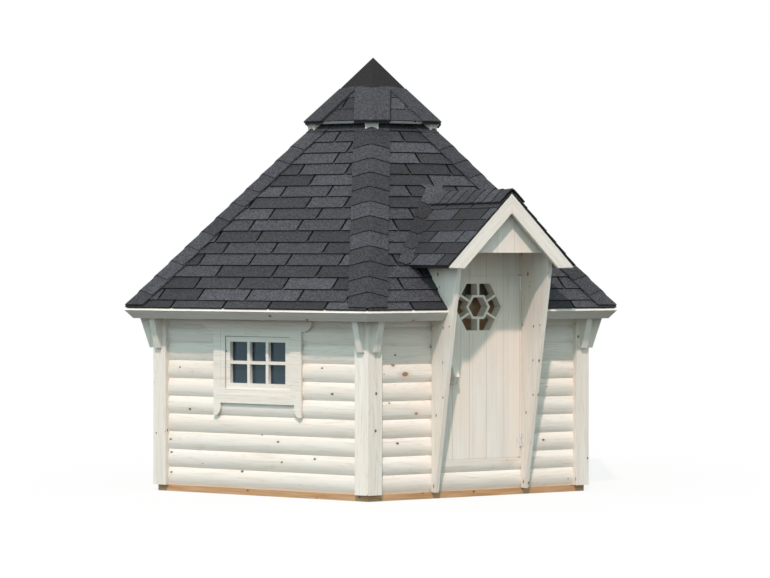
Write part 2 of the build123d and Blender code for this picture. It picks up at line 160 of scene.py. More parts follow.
# white glazed pine: u runs along the wall, v up it, worked out from the face's own direction
whiteWood = {
    "glaze": (0.80, 0.765, 0.69),
    "pale": (0.88, 0.86, 0.81),
    "warm": (0.86, 0.79, 0.70),
    "streak": (0.60, 0.53, 0.44),
    "pin": (0.045, 0.035, 0.025),
    "knot": (0.24, 0.13, 0.07),
    "halo": (0.74, 0.55, 0.42),
    "barePine": (0.62, 0.43, 0.25),
    "bareDark": (0.44, 0.27, 0.13),
    "roughness": 0.55,
    "wave": (3.0, 1.3, 2.0),  # strokes to the metre across and along the grain, detail, roughness
    "fibres": (95.0, 3.0, 4.0, 0.65),
    "broad": (22.0, 0.9, 3.0),
    "rings": (9.0, 0.8, 1.0),
    "ringLines": 14.0,
    "ringShare": 0.7,
    "bend": 0.05,
    "stretch": 40.0,
    "broadRange": (0.3, 0.7),
    "warmRange": (0.40, 0.62),
    "lineRange": (0.53, 0.72),
    "ringRange": (0.16, 0.02),
    "ringBreak": (0.42, 0.58),
    "boardShade": (0.94, 1.03),
    "unshadedTops": (0.3, 0.6),
    "roomFaces": (-0.9, -1.1),
    "bareLines": 0.5,
    "pinCell": (0.11, 0.30),
    "pinSize": 0.0075,
    "pinCover": 0.92,
    "pinHalo": 0.15,
    "pinDepth": 0.8,
    "knotCell": (0.15, 0.80),
    "knotSize": 0.015,
    "knotCover": 0.85,
    "knotHalo": 0.45,
    "knotShift": 17.3,
    "seamCover": 0.8,
    "relief": (0.35, 0.0012),
}
knotShape = {"scatter": 0.9, "squeeze": 0.7, "sizes": (0.5, 1.3), "core": (1.15, 0.6), "halo": (3.2, 0.8)}
unlike = {"wall": (13.1, 7.7, 0.0), "board": (31.0, 17.0, 0.0)}  # gives each wall its own grain


def wallCoords(tree):
    coords = put(tree, "ShaderNodeTexCoord")
    place, normal = coords.outputs["Object"], coords.outputs["Normal"]
    level = vec(tree, "NORMALIZE", vec(tree, "CROSS_PRODUCT", (0.0, 0.0, 1.0), normal))
    shift = vec(tree, "DOT_PRODUCT", level, unlike["wall"])
    u = plus(tree, vec(tree, "DOT_PRODUCT", place, level), shift)
    return place, normal, level, u, split(tree, place)[2]


def knotSpots(tree, across, along, cell, size, amount):
    # one possible knot in each cell of the board, drawn out a little along the grain
    at = combine(tree, over(tree, across, cell[0]), over(tree, along, cell[1]))
    wires = {"Vector": at, "Scale": 1.0, "Randomness": knotShape["scatter"]}
    spots = put(tree, "ShaderNodeTexVoronoi", wires, voronoi_dimensions="2D").outputs
    away = vec(tree, "SUBTRACT", at, spots["Position"])
    away = vec(tree, "MULTIPLY", away, (cell[0], cell[1] * knotShape["squeeze"], 0.0))
    chance = split(tree, spots["Color"])
    radius = times(tree, ramp(tree, chance[0], 0.0, 1.0, *knotShape["sizes"]), size)
    shown = calc(tree, "LESS_THAN", chance[1], amount)
    near = over(tree, vec(tree, "LENGTH", away), radius)
    return [times(tree, ramp(tree, near, *knotShape[part], smooth=True), shown) for part in ("core", "halo")]


def whitePine(name, grain, board, pins, knotty, inside=False, shadeTint=1.0, warmth=0.5, lines=0.45, seam=0.0):
    material, tree, shader = newMaterial(name, whiteWood["roughness"])
    place, normal, level, u, v = wallCoords(tree)
    facing = 0.0
    if grain == "flat":
        across, along = v, u
        facing = calc(tree, "ROUND", vec(tree, "DOT_PRODUCT", level, unlike["board"]))
    elif grain == "upright":
        across, along = u, v
    else:  # boards on the porch gable, at 45 degrees
        at = split(tree, place)
        side = calc(tree, "ABSOLUTE", at[0])
        across, along = plus(tree, side, at[2]), minus(tree, side, at[2])
    count = over(tree, minus(tree, across, board[0]), board[1])
    wires = {"Vector": combine(tree, calc(tree, "FLOOR", count), facing)}
    odds = split(tree, put(tree, "ShaderNodeTexWhiteNoise", wires, noise_dimensions="2D").outputs["Color"])
    run = plus(tree, along, times(tree, odds[0], whiteWood["stretch"]))  # each board its own stretch of tree
    wave = grainNoise(tree, across, run, whiteWood["wave"])
    bent = plus(tree, across, times(tree, wave, whiteWood["bend"]))
    fibres = grainNoise(tree, bent, run, whiteWood["fibres"])
    broad = grainNoise(tree, bent, run, whiteWood["broad"])
    rings = times(tree, grainNoise(tree, bent, run, whiteWood["rings"]), whiteWood["ringLines"])
    ring = ramp(tree, fromMiddle(tree, rings), *whiteWood["ringRange"], smooth=True)
    ring = times(tree, ring, ramp(tree, fibres, *whiteWood["ringBreak"]))
    pin, pinHalo = knotSpots(tree, bent, run, whiteWood["pinCell"], whiteWood["pinSize"], pins)
    knot, halo = knotSpots(tree, bent, plus(tree, run, whiteWood["knotShift"]), whiteWood["knotCell"],
                           whiteWood["knotSize"], knotty)
    line = ramp(tree, fibres, *whiteWood["lineRange"], smooth=True)
    colour = blend(tree, ramp(tree, broad, *whiteWood["broadRange"]), whiteWood["glaze"], whiteWood["pale"])
    layers = [
        (ramp(tree, wave, *whiteWood["warmRange"]), warmth, "warm"),
        (line, lines, "streak"),
        (ring, lines * whiteWood["ringShare"], "streak"),
        (halo, whiteWood["knotHalo"], "halo"),
        (knot, whiteWood["knotCover"], "knot"),
        (pinHalo, whiteWood["pinHalo"], "halo"),
        (pin, whiteWood["pinCover"], "pin"),
    ]
    if seam:  # a fine groove where two planks meet
        groove = ramp(tree, fromMiddle(tree, count), 0.5 - seam / board[1], 0.5)
        layers.append((groove, whiteWood["seamCover"], "streak"))
    for mask, strength, paint in layers:
        colour = blend(tree, times(tree, mask, strength), colour, whiteWood[paint])
    shade = ramp(tree, odds[1], 0.0, 1.0, *whiteWood["boardShade"])
    if shadeTint < 1.0:  # painted shade: the faces are darkened as if shaded, the upward top edges less so
        paintedShade = ramp(tree, split(tree, normal)[2], *whiteWood["unshadedTops"], shadeTint, 1.0)
        shade = times(tree, shade, paintedShade)
    colour = shaded(tree, colour, shade)
    if inside:  # the room side is bare pine
        flat = vec(tree, "MULTIPLY", place, (1.0, 1.0, 0.0))
        inward = ramp(tree, vec(tree, "DOT_PRODUCT", flat, normal), *whiteWood["roomFaces"])
        darker = times(tree, line, whiteWood["bareLines"])
        bare = blend(tree, darker, whiteWood["barePine"], whiteWood["bareDark"])
        colour = blend(tree, inward, colour, bare)
    height = minus(tree, fibres, times(tree, pin, whiteWood["pinDepth"]))
    surface(tree, shader, colour, height, *whiteWood["relief"])
    return material


timber = {"logHeight": 0.1265, "boardWidth": 0.2, "postWidth": 0.5, "doorPlanks": 5, "doorSeam": 0.004}
uncut = 9.0  # metres, more than any board or slope is long
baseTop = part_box("base_beams")[1].z
leafLow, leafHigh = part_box("door_leaf")
planks = (leafLow.x, (leafHigh.x - leafLow.x) / timber["doorPlanks"])

logs = (baseTop, timber["logHeight"])
boards = (0.0, timber["boardWidth"])
posts = (0.0, timber["postWidth"])
oneBoard = (0.0, uncut)
logWood = whitePine("white log", "flat", logs, pins=0.26, knotty=0.34, inside=True)
boardWood = whitePine("white board", "flat", boards, pins=0.28, knotty=0.03)
# painted shade: the eave boards, rim boards and cap blocks are darker on all but their upward faces
shadedEaveWood = whitePine("shaded white eave board", "flat", oneBoard, pins=0.30, knotty=0.15, shadeTint=0.78)
postWood = whitePine("white post", "upright", posts, pins=0.45, knotty=0.22)
pillarWood = whitePine("white pillar", "upright", posts, pins=0.60, knotty=0.10, warmth=0.9)
plankWood = whitePine("white plank", "upright", planks, pins=0.10, knotty=0.06, warmth=0.8, lines=0.12,
                      seam=timber["doorSeam"])
gableWood = whitePine("white gable board", "gable", oneBoard, pins=0.12, knotty=0.05)

dress(logWood, *named("wall_", "door_wall_"))
dress(boardWood, "door_threshold", *named("window_"))  # window walls, frames, sashes and casings
dress(shadedEaveWood, "eave_fascia", "cap_fascia", "cap_blocks")
dress(postWood, "eave_brackets", "dormer_cheeks", "door_handle", *named("corner_post_"))
dress(pillarWood, *named("porch_pillar_"))
dress(plankWood, "door_leaf", "door_header", "gable_panel", "door_lattice")
dress(gableWood, "bargeboard_left", "bargeboard_right")
print("white timber dressed")

# brown treated base and bare floor boards
brownWood = {
    "treated": ((0.60, 0.38, 0.212), (0.44, 0.25, 0.12)),
    "floor": ((0.50, 0.34, 0.18), (0.36, 0.22, 0.10)),
    "knot": (0.10, 0.045, 0.02),
    "fibres": (130.0, 4.0, 4.0),
    "knotCell": (0.06, 0.30),
    "knotSize": 0.008,
    "knotty": 0.6,
    "knotCover": 0.85,
    "range": (0.3, 0.7),
    "roughness": 0.6,
    "relief": (0.3, 0.001),
}


def brownPine(name, light, dark):
    material, tree, shader = newMaterial(name, brownWood["roughness"])
    u, v = wallCoords(tree)[3:]
    fibres = grainNoise(tree, v, u, brownWood["fibres"])
    knot = knotSpots(tree, v, u, brownWood["knotCell"], brownWood["knotSize"], brownWood["knotty"])[0]
    colour = blend(tree, ramp(tree, fibres, *brownWood["range"]), light, dark)
    colour = blend(tree, times(tree, knot, brownWood["knotCover"]), colour, brownWood["knot"])
    surface(tree, shader, colour, fibres, *brownWood["relief"])
    return material


dress(brownPine("treated timber", *brownWood["treated"]), "base_beams", "floor_joists")
dress(brownPine("floor boards", *brownWood["floor"]), "floor_deck")

# roof: mineral shingles over a dark deck with pine boards below
shingleLook = {
    "dark": (0.0183, 0.0197, 0.0232),
    "light": (0.0532, 0.0577, 0.0684),
    # painted shade colour for the marked ends and flanks of tabs and strips
    "edge": (0.004, 0.004, 0.005),
    "deck": (0.005, 0.005, 0.006),
    "cover": (0.0065, 0.0065, 0.0080),
    "roughness": 0.85,
    "sheen": 0.40,
    "grit": (82.0, 3.0, 0.7),  # noise scale, detail, roughness
    "speck": (0.34, 0.68, 0.25, 1.90),
    "cloud": (38.0, 3.0),
    "clouding": (0.3, 0.7, 0.82, 1.18),
    "toneCurve": 1.5,
    "unshadedFront": 0.01,
    "relief": (0.5, 0.002),
}
deckLook = {"roughness": 0.8, "sheen": 0.15, "grain": (9.0, 4.0), "underside": (-0.3, -0.1), "inner": -0.001}


def shingleFinish(name, tone=None, front=None):
    material, tree, shader = newMaterial(name, shingleLook["roughness"], shingleLook["sheen"])
    place = put(tree, "ShaderNodeTexCoord").outputs["Object"]
    grit = noise(tree, place, *shingleLook["grit"])
    cloud = noise(tree, place, *shingleLook["cloud"])
    speck = times(tree, ramp(tree, grit, *shingleLook["speck"]), ramp(tree, cloud, *shingleLook["clouding"]))
    if tone:
        colour = shaded(tree, shingleLook[tone], speck)
    else:
        own = put(tree, "ShaderNodeAttribute", attribute_name="tone").outputs["Fac"]
        own = calc(tree, "POWER", own, shingleLook["toneCurve"])
        colour = shaded(tree, blend(tree, own, shingleLook["dark"], shingleLook["light"]), speck)
        edge = put(tree, "ShaderNodeAttribute", attribute_name="edge").outputs["Fac"]
        if front is not None:  # the painted shade is left off the edges that lie further forward
            edge = times(tree, edge, calc(tree, "GREATER_THAN", split(tree, place)[1], front))
        # painted shade on the marked ends and flanks
        colour = blend(tree, edge, colour, shingleLook["edge"])
    surface(tree, shader, colour, grit, *shingleLook["relief"])
    return material


def deckFinish(name, porch=False):
    material, tree, shader = newMaterial(name, deckLook["roughness"], deckLook["sheen"])
    coords = put(tree, "ShaderNodeTexCoord").outputs
    normal = split(tree, coords["Normal"])
    grain = noise(tree, coords["Object"], *deckLook["grain"])
    covered = ramp(tree, normal[2], *deckLook["underside"])
    top = shingleLook["deck"]
    if porch:  # its outer edges are dark too, only the inner faces are boards
        x = split(tree, coords["Object"])[0]
        outer = calc(tree, "GREATER_THAN", times(tree, x, normal[0]), deckLook["inner"])
        covered = calc(tree, "MAXIMUM", covered, outer)
        top = blend(tree, grain, shingleLook["dark"], shingleLook["light"])
    pine = blend(tree, grain, whiteWood["barePine"], whiteWood["bareDark"])
    surface(tree, shader, blend(tree, covered, pine, top))
    return material


dormerLow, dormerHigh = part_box("dormer_roof_right")
shingle = shingleFinish("roof shingle")
porchShingle = shingleFinish("porch shingle", front=dormerLow.y + shingleLook["unshadedFront"])
coverFinish = shingleFinish("smooth cap cover", "cover")
# a near-black finish for the painted shadow strips on the cap
shadowStripFinish = shingleFinish("shadow strip", "deck")
dress(deckFinish("roof deck"), "cap_roof", "roof_collar", *named("roof_panel_"))
dress(deckFinish("porch deck", True), *named("dormer_roof_"))
dress(coverFinish, "cap_cover")

# glass, hinges and rubber
glass = {"roughness": 0.02, "mirror": 1.0}
doorGlass = {"Base Color": (0.085, 0.12, 0.11, 1.0), "Alpha": 0.22, "Specular Tint": (0.60, 1.0, 0.95, 1.0)}
windowGlass = {"Base Color": (0.03, 0.05, 0.075, 1.0), "Alpha": 0.60, "Specular Tint": (0.65, 0.90, 1.0, 1.0)}
steel = {
    "dark": (0.72, 0.71, 0.68),
    "light": (0.82, 0.81, 0.78),
    "grain": (180.0, 3.0),
    "roughness": 0.38,
    "sheen": 0.3,
    "metal": 0.35,
}
rubber = {
    "dark": (0.10, 0.10, 0.09),
    "light": (0.16, 0.155, 0.145),
    "grain": (40.0, 2.0),
    "roughness": 0.7,
    "sheen": 0.2,
    "metal": 0.0,
}


def mottled(name, look):
    material, tree, shader = newMaterial(name, look["roughness"], look["sheen"], {"Metallic": look["metal"]})
    wear = noise(tree, put(tree, "ShaderNodeTexCoord").outputs["Object"], *look["grain"])
    surface(tree, shader, blend(tree, wear, look["dark"], look["light"]))
    return material


for word, look in (("door", doorGlass), ("window", windowGlass)):
    pane = newMaterial(word + " glass", glass["roughness"], glass["mirror"], look)[0]
    dress(pane, *named(word + "_glass"))
dress(mottled("hinge steel", steel), "door_hinge_brackets", "door_hinge_knuckles")
sealRubber = mottled("seal rubber", rubber)
print("all nodes dressed")


# helpers for pieces
def addObject(name, data):
    made = bpy.data.objects.new(name, data)
    scene.collection.objects.link(made)
    return made


def newPiece(name, corners, faces, material, place=Matrix()):
    mesh = bpy.data.meshes.new(name)
    mesh.from_pydata(corners, [], faces)
    mesh.materials.append(material)
    mesh.transform(place)
    return addObject(name, mesh)


def boxes(name, spans, material, place=Matrix()):
    corners = []
    faces = []
    for low, high in spans:
        first = len(corners)
        xs, ys, zs = zip(low, high)
        corners += [(x, y, z) for z in zs for y in ys for x in xs]
        for face in ((0, 2, 3, 1), (4, 5, 7, 6), (0, 1, 5, 4), (2, 6, 7, 3), (0, 4, 6, 2), (1, 3, 7, 5)):
            faces.append([first + corner for corner in face])
    return newPiece(name, corners, faces, material, place)


def joined(name, pieces):
    first = pieces[0]
    with bpy.context.temp_override(active_object=first, object=first, selected_editable_objects=pieces):
        bpy.ops.object.join()
    first.name = name
    first.data.name = name
    return first


def settle(piece, body):
    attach(piece, body)


def grow(name, tree, values, place):
    piece = addObject(name, bpy.data.meshes.new(name))
    modifier = piece.modifiers.new("grow", "NODES")
    modifier.node_group = tree
    for item in tree.interface.items_tree:
        if item.in_out == "INPUT":
            modifier[item.identifier] = values[item.name]
    view = bpy.context.evaluated_depsgraph_get()
    seen = piece.evaluated_get(view)
    made = bpy.data.meshes.new_from_object(seen, preserve_all_data_layers=True, depsgraph=view)
    piece.modifiers.remove(modifier)
    piece.data = made
    made.transform(place)
    return piece


# geometry node trees
def newTree(name, counts, sizes, places=()):
    tree = bpy.data.node_groups.new(name, "GeometryNodeTree")
    tree.interface.new_socket("Geometry", in_out="OUTPUT", socket_type="NodeSocketGeometry")
    for kind, labels in (("Int", counts), ("Float", sizes), ("Vector", places), ("Material", ["Material"])):
        for label in labels:
            tree.interface.new_socket(label, in_out="INPUT", socket_type="NodeSocket" + kind)
    return tree, tree.nodes.new("NodeGroupInput").outputs


def draw(tree, key, seed, low=0.0, high=1.0):
    wires = {"ID": key, "Seed": seed, 2: low, 3: high}
    return put(tree, "FunctionNodeRandomValue", wires, data_type="FLOAT").outputs[1]


def store(tree, geometry, name, value, domain="POINT"):
    wires = {"Geometry": geometry, "Name": name, "Value": value}
    return put(tree, "GeometryNodeStoreNamedAttribute", wires, data_type="FLOAT", domain=domain).outputs[0]


def newPoints(tree, count, place):
    return put(tree, "GeometryNodePoints", {"Count": count, "Position": place}).outputs[0]


def newSlab(tree, size, columns=2):
    wires = {"Size": combine(tree, *size), "Vertices X": columns, "Vertices Y": 2, "Vertices Z": 2}
    return put(tree, "GeometryNodeMeshCube", wires).outputs[0]


def slide(tree, geometry, x=0.0, y=0.0, z=0.0, tilt=0.0):
    wires = {"Geometry": geometry, "Translation": combine(tree, x, y, z), "Rotation": combine(tree, tilt)}
    return put(tree, "GeometryNodeTransform", wires).outputs[0]


def position(tree):
    return split(tree, put(tree, "GeometryNodeInputPosition").outputs[0])


def reshape(tree, geometry, x, y, z):
    wires = {"Geometry": geometry, "Position": combine(tree, x, y, z)}
    return put(tree, "GeometryNodeSetPosition", wires).outputs[0]


def layOut(tree, points, piece, scale=(1.0, 1.0, 1.0)):
    wires = {"Points": points, "Instance": piece, "Scale": scale}
    return put(tree, "GeometryNodeInstanceOnPoints", wires).outputs[0]


def closeTree(tree, geometry, material, trim=None):
    geometry = put(tree, "GeometryNodeRealizeInstances", {"Geometry": geometry}).outputs[0]
    if trim:
        geometry = reshape(tree, geometry, *trim)
    finished = put(tree, "GeometryNodeSetMaterial", {"Geometry": geometry, "Material": material})
    put(tree, "NodeGroupOutput", {0: finished.outputs[0]})
    return tree


# marks the ends and flanks of a tab or strip for painted shade: the shadow lines under each lap and in the
# joints are painted dark
def markShadedEdges(tree, slab, left=1.0, right=1.0, feet=1.0):
    pointing = split(tree, put(tree, "GeometryNodeInputNormal").outputs[0])
    ends = calc(tree, "GREATER_THAN", calc(tree, "ABSOLUTE", pointing[1]), 0.5)
    flanks = plus(tree, times(tree, calc(tree, "LESS_THAN", pointing[0], -0.5), left),
                  times(tree, calc(tree, "GREATER_THAN", pointing[0], 0.5), right))
    return store(tree, slab, "edge", calc(tree, "MAXIMUM", times(tree, ends, feet), flanks), "FACE")


# courses of shingle tabs on a slope: x along the eave, y up the slope,
# cut off at two straight or leaning lines
keySteps = {"row": 131.0, "joint": 5000.0}  # keep the draws of the rows and joints apart


def shingleTree():
    tree, given = newTree(
        "shingle courses", ["First Row", "Rows", "Columns", "Seed"],
        ["Exposure", "Tab Width", "Overlap", "Gap", "Thickness", "Lift", "Jitter", "Wander",
         "Low", "Low Taper", "Least", "High", "High Taper", "Start", "Foot"])
    index = put(tree, "GeometryNodeInputIndex").outputs[0]
    step = calc(tree, "FLOOR", over(tree, index, given["Columns"]))
    row = plus(tree, step, given["First Row"])
    column = minus(tree, index, times(tree, step, given["Columns"]))
    column = minus(tree, column, calc(tree, "FLOOR", over(tree, given["Columns"], 2.0)))
    drift = times(tree, draw(tree, row, given["Seed"]), given["Jitter"])
    shift = plus(tree, times(tree, calc(tree, "FLOORED_MODULO", row, 2.0), 0.5), drift)
    y = plus(tree, times(tree, row, given["Exposure"]), given["Start"])
    key = plus(tree, times(tree, row, keySteps["row"]), column)
    back = times(tree, given["Wander"], -1.0)

    def jointAt(number):
        jointKey = plus(tree, key, number + keySteps["joint"])
        wander = draw(tree, jointKey, given["Seed"], back, given["Wander"])
        joint = plus(tree, plus(tree, column, number - 0.5), plus(tree, shift, wander))
        return times(tree, joint, given["Tab Width"])

    def lowAt(height):
        line = plus(tree, given["Low"], times(tree, given["Low Taper"], height))
        return calc(tree, "MAXIMUM", line, given["Least"])

    def highAt(height):
        return plus(tree, given["High"], times(tree, given["High Taper"], height))

    left, right = jointAt(0.0), jointAt(1.0)
    x = times(tree, plus(tree, left, right), 0.5)
    width = minus(tree, minus(tree, right, left), given["Gap"])
    half = times(tree, width, 0.48)  # a tab that only just touches a line is left out
    rowAbove = plus(tree, y, given["Exposure"])
    lowest = calc(tree, "MINIMUM", lowAt(y), lowAt(rowAbove))
    highest = calc(tree, "MAXIMUM", highAt(y), highAt(rowAbove))
    outside = calc(tree, "MAXIMUM", calc(tree, "LESS_THAN", plus(tree, x, half), lowest),
                   calc(tree, "GREATER_THAN", minus(tree, x, half), highest))
    points = newPoints(tree, times(tree, given["Rows"], given["Columns"]), combine(tree, x, y))
    points = store(tree, points, "tone", draw(tree, key, given["Seed"]))
    points = store(tree, points, "span", width)
    wires = {"Geometry": points, "Selection": outside}
    points = put(tree, "GeometryNodeDeleteGeometry", wires, domain="POINT").outputs[0]

    length = times(tree, given["Exposure"], given["Overlap"])
    # all ends and flanks of the tabs get painted shade
    slab = markShadedEdges(tree, newSlab(tree, (1.0, length, given["Thickness"]), 3))
    slab = slide(tree, slab, y=over(tree, length, 2.0))
    tilt = times(tree, calc(tree, "ARCTANGENT", over(tree, given["Thickness"], length)), -1.0)
    slab = slide(tree, slab, z=given["Lift"], tilt=tilt)
    span = put(tree, "GeometryNodeInputNamedAttribute", {"Name": "span"}, data_type="FLOAT").outputs[0]
    laid = layOut(tree, points, slab, combine(tree, span, 1.0, 1.0))
    here = position(tree)
    held = calc(tree, "MAXIMUM", here[1], given["Foot"])
    cut = calc(tree, "MINIMUM", calc(tree, "MAXIMUM", here[0], lowAt(held)), highAt(held))
    return closeTree(tree, laid, given["Material"], (cut, held, here[2]))


# strips folded over a hip or ridge, each lapping the one below, cut level at the foot
def foldTree():
    tree, given = newTree(
        "folded strips", ["Count", "Seed"],
        ["Spacing", "Half Width", "Overlap", "Thickness", "Fold", "Round", "Foot", "Head",
         "Darkest", "Lightest", "Shade Left", "Shade Right", "Shade Feet"])
    index = put(tree, "GeometryNodeInputIndex").outputs[0]
    points = newPoints(tree, given["Count"], combine(tree, 0.0, times(tree, index, given["Spacing"])))
    tone = draw(tree, index, given["Seed"], given["Darkest"], given["Lightest"])
    points = store(tree, points, "tone", tone)
    length = times(tree, given["Spacing"], given["Overlap"])
    slab = newSlab(tree, (times(tree, given["Half Width"], 2.0), length, given["Thickness"]), 13)
    # the ends and flanks picked by the shade inputs get painted shade
    slab = markShadedEdges(tree, slab, given["Shade Left"], given["Shade Right"], given["Shade Feet"])
    slab = slide(tree, slab, y=over(tree, length, 2.0))
    here = position(tree)
    squares = plus(tree, times(tree, here[0], here[0]), times(tree, given["Round"], given["Round"]))
    drop = times(tree, minus(tree, calc(tree, "SQRT", squares), given["Round"]), given["Fold"])
    rise = times(tree, given["Thickness"], 1.6)  # clear of the strip below
    lean = times(tree, over(tree, here[1], length), given["Thickness"])
    height = minus(tree, plus(tree, here[2], rise), plus(tree, drop, lean))
    strips = layOut(tree, points, reshape(tree, slab, here[0], here[1], height))
    there = position(tree)
    foot = times(tree, calc(tree, "ABSOLUTE", there[0]), given["Foot"])
    head = plus(tree, foot, given["Head"])
    held = calc(tree, "MINIMUM", calc(tree, "MAXIMUM", there[1], foot), head)
    return closeTree(tree, strips, given["Material"], (there[0], held, there[2]))


# tabs laid along a valley, each pointed at its foot and leaning with the valley line
def valleyTree():
    tree, given = newTree(
        "valley tabs", ["Count", "Seed"],
        ["Spacing", "Lean", "Inside", "Outside", "Length", "Thickness", "Point"], ["Start"])
    index = put(tree, "GeometryNodeInputIndex").outputs[0]
    up = times(tree, index, given["Spacing"])
    along = vec(tree, "ADD", given["Start"], combine(tree, times(tree, up, given["Lean"]), up))
    points = store(tree, newPoints(tree, given["Count"], along), "tone", draw(tree, index, given["Seed"]))
    width = plus(tree, given["Inside"], given["Outside"])
    # all ends and flanks of the valley tabs get painted shade
    slab = markShadedEdges(tree, newSlab(tree, (width, given["Length"], given["Thickness"]), 5))
    middle = times(tree, minus(tree, given["Outside"], given["Inside"]), 0.5)
    slab = slide(tree, slab, middle, times(tree, given["Length"], 0.5))
    here = position(tree)
    rise = times(tree, calc(tree, "ABSOLUTE", minus(tree, here[0], middle)), given["Point"])
    y = plus(tree, here[1], rise)
    x = plus(tree, here[0], times(tree, y, given["Lean"]))
    lean = times(tree, over(tree, here[1], given["Length"]), given["Thickness"])
    laid = layOut(tree, points, reshape(tree, slab, x, y, minus(tree, here[2], lean)))
    return closeTree(tree, laid, given["Material"])


# glazing bars, upright and level, spaced evenly in a sash
def barTree():
    tree, given = newTree(
        "glazing bars", ["Columns", "Rows"], ["Width", "Height", "Bar Width", "Bar Depth", "Level Depth"])
    index = put(tree, "GeometryNodeInputIndex").outputs[0]

    def spread(count, span):
        return times(tree, minus(tree, over(tree, plus(tree, index, 1.0), count), 0.5), span)

    def barRow(count, at, size):
        return layOut(tree, newPoints(tree, minus(tree, count, 1.0), at), newSlab(tree, size))

    upright = barRow(given["Columns"], combine(tree, x=spread(given["Columns"], given["Width"])),
                     (given["Bar Width"], given["Bar Depth"], given["Height"]))
    level = barRow(given["Rows"], combine(tree, z=spread(given["Rows"], given["Height"])),
                   (given["Width"], given["Level Depth"], given["Bar Width"]))
    both = put(tree, "GeometryNodeJoinGeometry")
    tree.links.new(upright, both.inputs[0])
    tree.links.new(level, both.inputs[0])
    return closeTree(tree, both.outputs[0], given["Material"])


courses = shingleTree()
folds = foldTree()
valleys = valleyTree()
glazing = barTree()
print("trees built")

# the roof planes, read from the frame: all slopes are at 45 degrees
rearLow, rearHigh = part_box("roof_panel_rear")
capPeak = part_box("cap_roof")[1].z
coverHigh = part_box("cap_cover")[1]
upward = Vector((0.0, 0.0, 1.0))
roof = {
    "eaveReach": rearHigh.y,
    "holeReach": rearLow.y,
    "peak": rearHigh.z + rearLow.y,
    "hexTan": math.tan(math.radians(30)),
    "hexCos": math.cos(math.radians(30)),
    "slope": math.sqrt(0.5),
    "porchSlab": 0.022,  # thickness of the porch roof
}
tabs = {
    "Exposure": 0.1148,
    "Tab Width": 0.40,
    "Overlap": 1.25,
    "Gap": 0.016,
    "Thickness": 0.012,
    "Lift": 0.0112,
    "Jitter": 0.16,
    "Wander": 0.13,
    "Columns": 14,
    "Start": 0.0,
    "Foot": -uncut,
    "Least": -uncut,
    "Material": shingle,
}
eaveCut = {"Start": -0.37 * tabs["Exposure"], "Foot": 0.0}  # only part of the lowest course shows
slopeFit = {
    "footDrop": 0.007,
    "pillarGap": 0.002,
    "valleyLift": 0.021,
    "valleyOver": 0.02,
    "valleyDrop": 0.03,
}
valleyLook = {
    "Count": 5,
    "Spacing": 0.150,
    "Lean": -roof["slope"],
    "Inside": 0.05,
    "Outside": 0.085,
    "Length": 0.185,
    "Thickness": 0.006,
    "Point": 0.45,
    "Seed": 7,
    "Material": shingle,
}


def heading(angle):
    turn = math.radians(angle)
    return Vector((math.cos(turn), math.sin(turn), 0.0))


def standing(side, up, face, at):
    spot = Matrix((side, up, face)).transposed().to_4x4()
    spot.translation = at
    return spot


def slopePlace(outward, reach, height):
    # local x along the eave, y up the slope, z out of it
    side = Vector((-outward.y, outward.x, 0.0))
    up = (upward - outward) * roof["slope"]
    face = (upward + outward) * roof["slope"]
    return standing(side, up, face, outward * reach + upward * height)


def moved(spot, x, y, z):
    return spot @ Matrix.Translation((x, y, z))


def courseRun(name, spot, firstRow, rows, low, high, seed, **changes):
    lines = {"Low": low[0], "Low Taper": low[1], "High": high[0], "High Taper": high[1]}
    values = dict(tabs, **lines, **{"First Row": firstRow, "Rows": rows, "Seed": seed})
    return grow(name, courses, dict(values, **changes), spot)


def rowsIn(depth):
    return (depth / roof["slope"] - eaveCut["Start"]) / tabs["Exposure"]


taper = roof["slope"] * roof["hexTan"]
eaveHalf = roof["eaveReach"] * roof["hexTan"]
wholeLow, wholeHigh = (-eaveHalf, taper), (eaveHalf, -taper)
slopeRows = int(rowsIn(roof["eaveReach"] - roof["holeReach"]))


def frontRuns(spot, seed):
    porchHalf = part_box("porch_pillar_right")[1].x + slopeFit["pillarGap"]
    porchUnder = dormerHigh.z - roof["porchSlab"] * math.sqrt(2)  # peak of the porch roof's underside
    valleyHalf = roof["eaveReach"] - (roof["peak"] - porchUnder)  # where the valley would meet the eave line
    beside = math.ceil(rowsIn(valleyHalf - porchHalf))
    apex = math.ceil(rowsIn(valleyHalf))
    valleyLow = (valleyHalf, -roof["slope"])
    runs = [courseRun("run", spot, 0, beside, (porchHalf, 0.0), wholeHigh, seed, **eaveCut),
            courseRun("run", spot, beside, apex - beside, valleyLow, wholeHigh, seed, Least=0.0, **eaveCut)]
    # the same line on top of the porch shingles
    valleyTop = roof["eaveReach"] - (roof["peak"] - dormerHigh.z) + slopeFit["valleyOver"]
    footY = (valleyTop - dormerHigh.x) / roof["slope"] - slopeFit["valleyDrop"]
    start = (dormerHigh.x + slopeFit["valleyDrop"] * roof["slope"], footY, slopeFit["valleyLift"])
    runs.append(grow("run", valleys, dict(valleyLook, Start=start), spot))
    flip = spot @ Matrix.Diagonal((-1, 1, 1, 1)) @ spot.inverted()
    for piece in runs[:]:
        twin = addObject("run", piece.data.copy())
        twin.data.transform(flip)
        twin.data.flip_normals()
        runs.append(twin)
    runs.append(courseRun("run", spot, apex, slopeRows - apex, wholeLow, wholeHigh, seed, **eaveCut))
    return runs


slopeAngles = {
    "front": -90,
    "front_right": -30,
    "rear_right": 30,
    "rear": 90,
    "rear_left": 150,
    "front_left": -150,
}
for seed, (word, angle) in enumerate(slopeAngles.items(), start=4):
    spot = slopePlace(heading(angle), roof["eaveReach"], roof["peak"] - roof["eaveReach"])
    spot = moved(spot, 0.0, -slopeFit["footDrop"], 0.0)
    if word == "front":
        runs = frontRuns(spot, seed)
    else:
        runs = [courseRun("run", spot, 0, slopeRows, wholeLow, wholeHigh, seed, **eaveCut)]
    settle(joined("shingles_" + word, runs), "hut")
print("main slopes shingled,", slopeRows, "rows")

